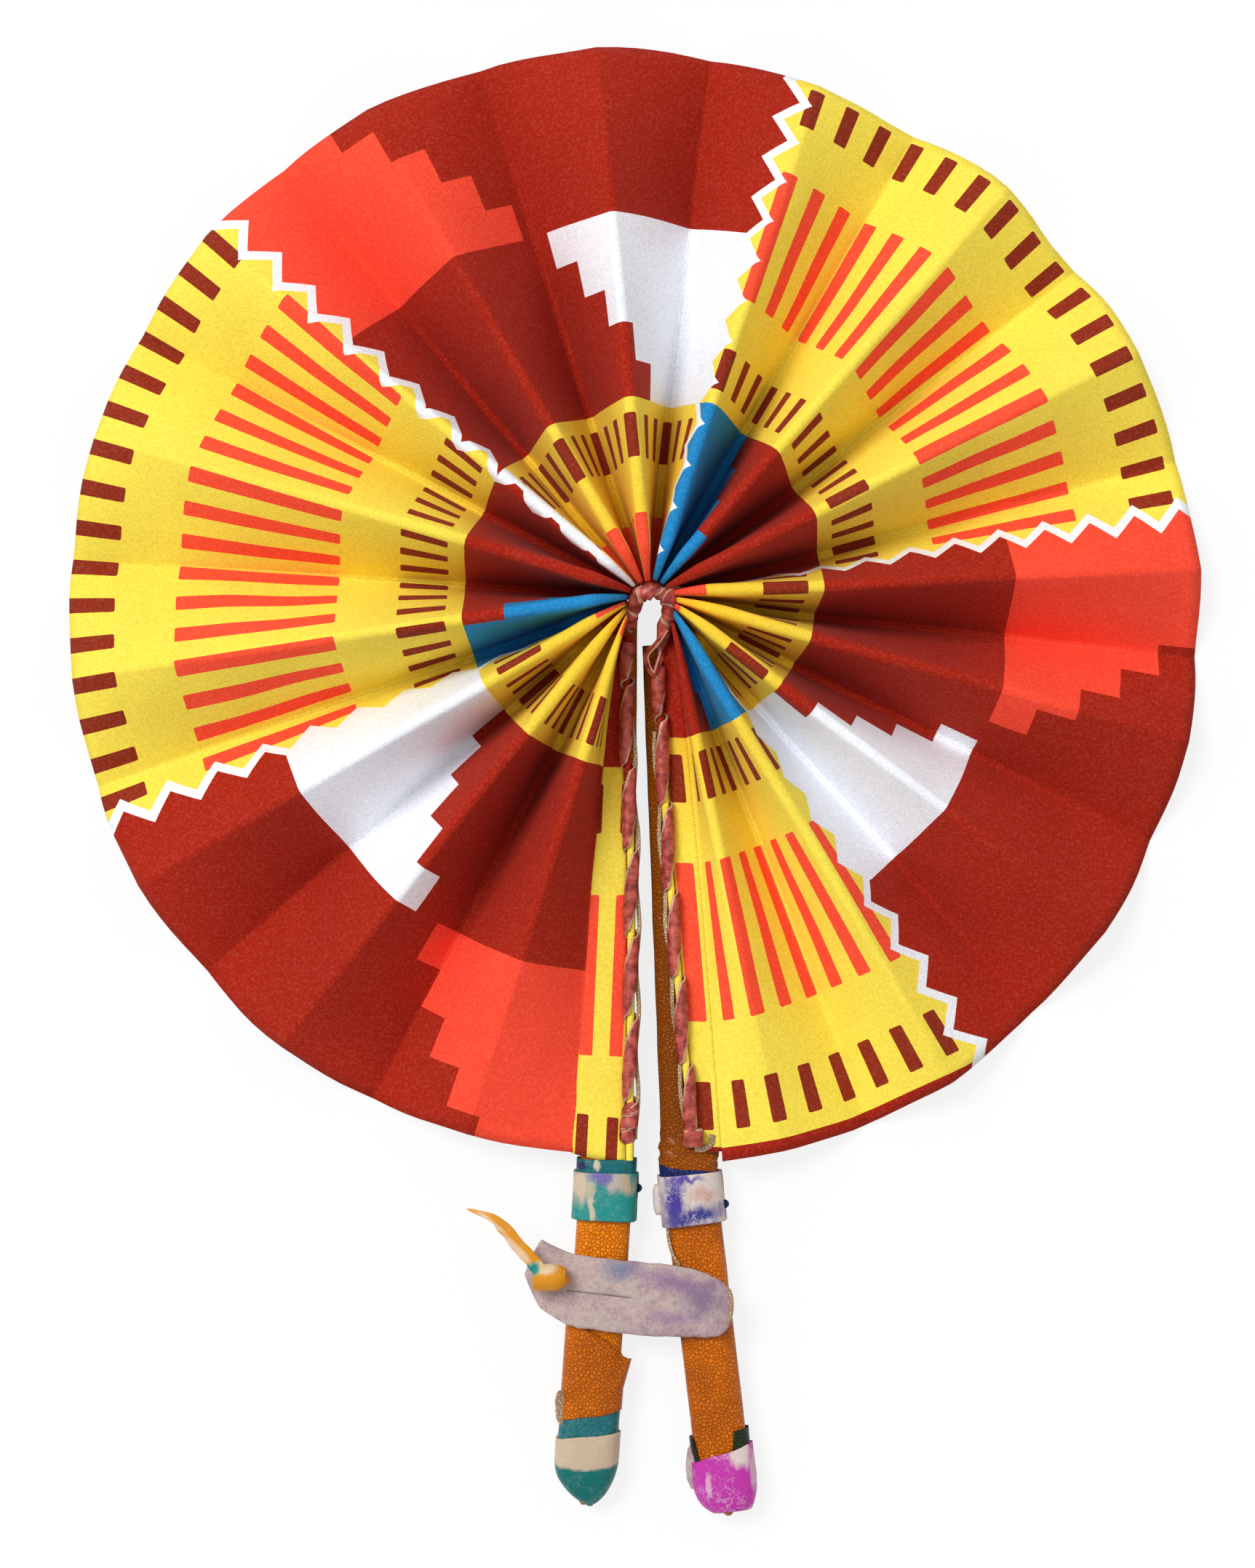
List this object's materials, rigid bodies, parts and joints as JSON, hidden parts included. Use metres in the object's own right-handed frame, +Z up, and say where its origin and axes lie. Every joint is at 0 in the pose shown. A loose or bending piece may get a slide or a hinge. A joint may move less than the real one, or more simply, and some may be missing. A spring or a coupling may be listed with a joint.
{
  "type": "folding hand fan",
  "caption": "Folding cloth hand fan: a pleated printed leaf opens into a full disc between two leather covered sticks that a strap and toggle hold together.",
  "frame": {"origin": "on the table, under the middle of the open fan's outline as it lies on its back", "axes": "+Y from the handles towards the top of the disc, +X to the right as seen from the front, +Z up out of the front"},
  "size_m": [0.3092, 0.4064, 0.0346],
  "materials": {
    "printed_cloth": "satin",
    "lath_wood": "matte",
    "brown_leather": "satin",
    "lace_leather": "satin",
    "teal_leather": "satin",
    "marbled_leather": "satin",
    "blue_leather": "satin",
    "magenta_leather": "satin",
    "green_leather": "satin",
    "lavender_suede": "matte",
    "ochre_leather": "satin"
  },
  "bodies": {
    "left_stick": {"left_sleeve": "brown_leather", "left_lath": "lath_wood", "left_cuff_lining": "teal_leather", "left_cuff": "marbled_leather", "left_foot_band": "teal_leather", "left_foot_cap": "teal_leather", "left_handle_wrap": "brown_leather", "left_cuff_knot": "blue_leather", "left_foot_flap": "lavender_suede", "left_end_panel": "printed_cloth", "left_piping": "printed_cloth", "left_lace": "lace_leather", "left_lace_tuck": "lace_leather", "toggle_thong": "ochre_leather"},
    "hub": {"hub_lace": "lace_leather"},
    "right_stick": {"right_sleeve": "brown_leather", "right_lath": "lath_wood", "right_cuff_lining": "blue_leather", "right_cuff": "marbled_leather", "right_foot_band": "green_leather", "right_foot_cap": "magenta_leather", "right_cuff_knot": "blue_leather", "right_cuff_roll": "marbled_leather", "right_foot_flap": "lavender_suede", "right_end_panel": "printed_cloth", "right_piping": "printed_cloth", "right_lace": "lace_leather", "right_lace_tuck": "lace_leather", "strap_slit_lip": "brown_leather"},
    "strap": {"strap": "lavender_suede"},
    "toggle": {"toggle_roll": "ochre_leather", "toggle_tail": "ochre_leather"},
    "pleat_01": {"pleat_01": "printed_cloth"},
    "pleat_02": {"pleat_02": "printed_cloth"},
    "pleat_03": {"pleat_03": "printed_cloth"},
    "pleat_04": {"pleat_04": "printed_cloth"},
    "pleat_05": {"pleat_05": "printed_cloth"},
    "pleat_06": {"pleat_06": "printed_cloth"},
    "pleat_07": {"pleat_07": "printed_cloth"},
    "pleat_08": {"pleat_08": "printed_cloth"},
    "pleat_09": {"pleat_09": "printed_cloth"},
    "pleat_10": {"pleat_10": "printed_cloth"},
    "pleat_11": {"pleat_11": "printed_cloth"},
    "pleat_12": {"pleat_12": "printed_cloth"},
    "pleat_13": {"pleat_13": "printed_cloth"},
    "pleat_14": {"pleat_14": "printed_cloth"},
    "pleat_15": {"pleat_15": "printed_cloth"},
    "pleat_16": {"pleat_16": "printed_cloth"}
  },
  "joints": [
    {"name": "hub_fold", "type": "hinge", "parent": "left_stick", "child": "hub", "pos_m": [-0.01361, 0.0476, 0.013], "axis": [0, 0, 1], "range_deg": [0, 180]},
    {"name": "right_stick_fold", "type": "hinge", "parent": "hub", "child": "right_stick", "pos_m": [0.01704, 0.0476, 0.013], "axis": [0, 0, 1], "range_deg": [0, 180]},
    {"name": "pleat_01_fold", "type": "hinge", "parent": "hub", "child": "pleat_01", "pos_m": [-0.00693, 0.05079, 0.013], "axis": [0, 0, 1], "range_deg": [-165, 0], "deforming": ["pleat_01"]},
    {"name": "pleat_02_fold", "type": "hinge", "parent": "hub", "child": "pleat_02", "pos_m": [-0.0055, 0.05238, 0.013], "axis": [0, 0, 1], "range_deg": [-144, 0], "deforming": ["pleat_02"]},
    {"name": "pleat_03_fold", "type": "hinge", "parent": "hub", "child": "pleat_03", "pos_m": [-0.0041, 0.05375, 0.013], "axis": [0, 0, 1], "range_deg": [-122, 0], "deforming": ["pleat_03"]},
    {"name": "pleat_04_fold", "type": "hinge", "parent": "hub", "child": "pleat_04", "pos_m": [-0.00274, 0.055, 0.013], "axis": [0, 0, 1], "range_deg": [-100, 0], "deforming": ["pleat_04"]},
    {"name": "pleat_05_fold", "type": "hinge", "parent": "hub", "child": "pleat_05", "pos_m": [-0.00132, 0.05635, 0.013], "axis": [0, 0, 1], "range_deg": [-75, 0], "deforming": ["pleat_05"]},
    {"name": "pleat_06_fold", "type": "hinge", "parent": "hub", "child": "pleat_06", "pos_m": [0.00004, 0.05804, 0.013], "axis": [0, 0, 1], "range_deg": [-52, 0], "deforming": ["pleat_06"]},
    {"name": "pleat_07_fold", "type": "hinge", "parent": "hub", "child": "pleat_07", "pos_m": [0.00129, 0.061, 0.013], "axis": [0, 0, 1], "range_deg": [-31, 0], "deforming": ["pleat_07"]},
    {"name": "pleat_08_fold", "type": "hinge", "parent": "hub", "child": "pleat_08", "pos_m": [0.00271, 0.09361, 0.013], "axis": [0, 0, 1], "range_deg": [-6, 0], "deforming": ["pleat_08"]},
    {"name": "pleat_09_fold", "type": "hinge", "parent": "hub", "child": "pleat_09", "pos_m": [0.00398, 0.04579, 0.013], "axis": [0, 0, 1], "range_deg": [0, 21], "deforming": ["pleat_09"]},
    {"name": "pleat_10_fold", "type": "hinge", "parent": "hub", "child": "pleat_10", "pos_m": [0.00532, 0.05077, 0.013], "axis": [0, 0, 1], "range_deg": [0, 44], "deforming": ["pleat_10"]},
    {"name": "pleat_11_fold", "type": "hinge", "parent": "hub", "child": "pleat_11", "pos_m": [0.00664, 0.05202, 0.013], "axis": [0, 0, 1], "range_deg": [0, 66], "deforming": ["pleat_11"]},
    {"name": "pleat_12_fold", "type": "hinge", "parent": "hub", "child": "pleat_12", "pos_m": [0.00803, 0.0524, 0.013], "axis": [0, 0, 1], "range_deg": [0, 91], "deforming": ["pleat_12"]},
    {"name": "pleat_13_fold", "type": "hinge", "parent": "hub", "child": "pleat_13", "pos_m": [0.00926, 0.0522, 0.013], "axis": [0, 0, 1], "range_deg": [0, 109], "deforming": ["pleat_13"]},
    {"name": "pleat_14_fold", "type": "hinge", "parent": "hub", "child": "pleat_14", "pos_m": [0.01063, 0.05175, 0.013], "axis": [0, 0, 1], "range_deg": [0, 131], "deforming": ["pleat_14"]},
    {"name": "pleat_15_fold", "type": "hinge", "parent": "hub", "child": "pleat_15", "pos_m": [0.01208, 0.05099, 0.013], "axis": [0, 0, 1], "range_deg": [0, 153], "deforming": ["pleat_15"]},
    {"name": "pleat_16_fold", "type": "hinge", "parent": "hub", "child": "pleat_16", "pos_m": [0.01343, 0.04994, 0.013], "axis": [0, 0, 1], "range_deg": [0, 172], "deforming": ["pleat_16"]},
    {"name": "strap_lift", "type": "hinge", "parent": "right_stick", "child": "strap", "pos_m": [0.0258, -0.1434, 0.01153], "axis": [-0.1157, 0.9933, 0], "range_deg": [0, 120], "deforming": ["strap"]},
    {"name": "toggle_turn", "type": "hinge", "parent": "left_stick", "child": "toggle", "pos_m": [-0.01812, -0.1374, 0.01153], "axis": [0, 0, 1], "range_deg": [0, 90]}
  ],
  "couplings": [
    {"joint": "right_stick_fold", "follows": "hub_fold", "ratio": 1},
    {"joint": "pleat_01_fold", "follows": "hub_fold", "ratio": -0.90889},
    {"joint": "pleat_02_fold", "follows": "hub_fold", "ratio": -0.79006},
    {"joint": "pleat_03_fold", "follows": "hub_fold", "ratio": -0.66828},
    {"joint": "pleat_04_fold", "follows": "hub_fold", "ratio": -0.54639},
    {"joint": "pleat_05_fold", "follows": "hub_fold", "ratio": -0.40994},
    {"joint": "pleat_06_fold", "follows": "hub_fold", "ratio": -0.27917},
    {"joint": "pleat_07_fold", "follows": "hub_fold", "ratio": -0.16289},
    {"joint": "pleat_08_fold", "follows": "hub_fold", "ratio": -0.026111},
    {"joint": "pleat_09_fold", "follows": "hub_fold", "ratio": 0.10783},
    {"joint": "pleat_10_fold", "follows": "hub_fold", "ratio": 0.23589},
    {"joint": "pleat_11_fold", "follows": "hub_fold", "ratio": 0.361},
    {"joint": "pleat_12_fold", "follows": "hub_fold", "ratio": 0.49478},
    {"joint": "pleat_13_fold", "follows": "hub_fold", "ratio": 0.59633},
    {"joint": "pleat_14_fold", "follows": "hub_fold", "ratio": 0.71817},
    {"joint": "pleat_15_fold", "follows": "hub_fold", "ratio": 0.84267},
    {"joint": "pleat_16_fold", "follows": "hub_fold", "ratio": 0.94972}
  ]
}
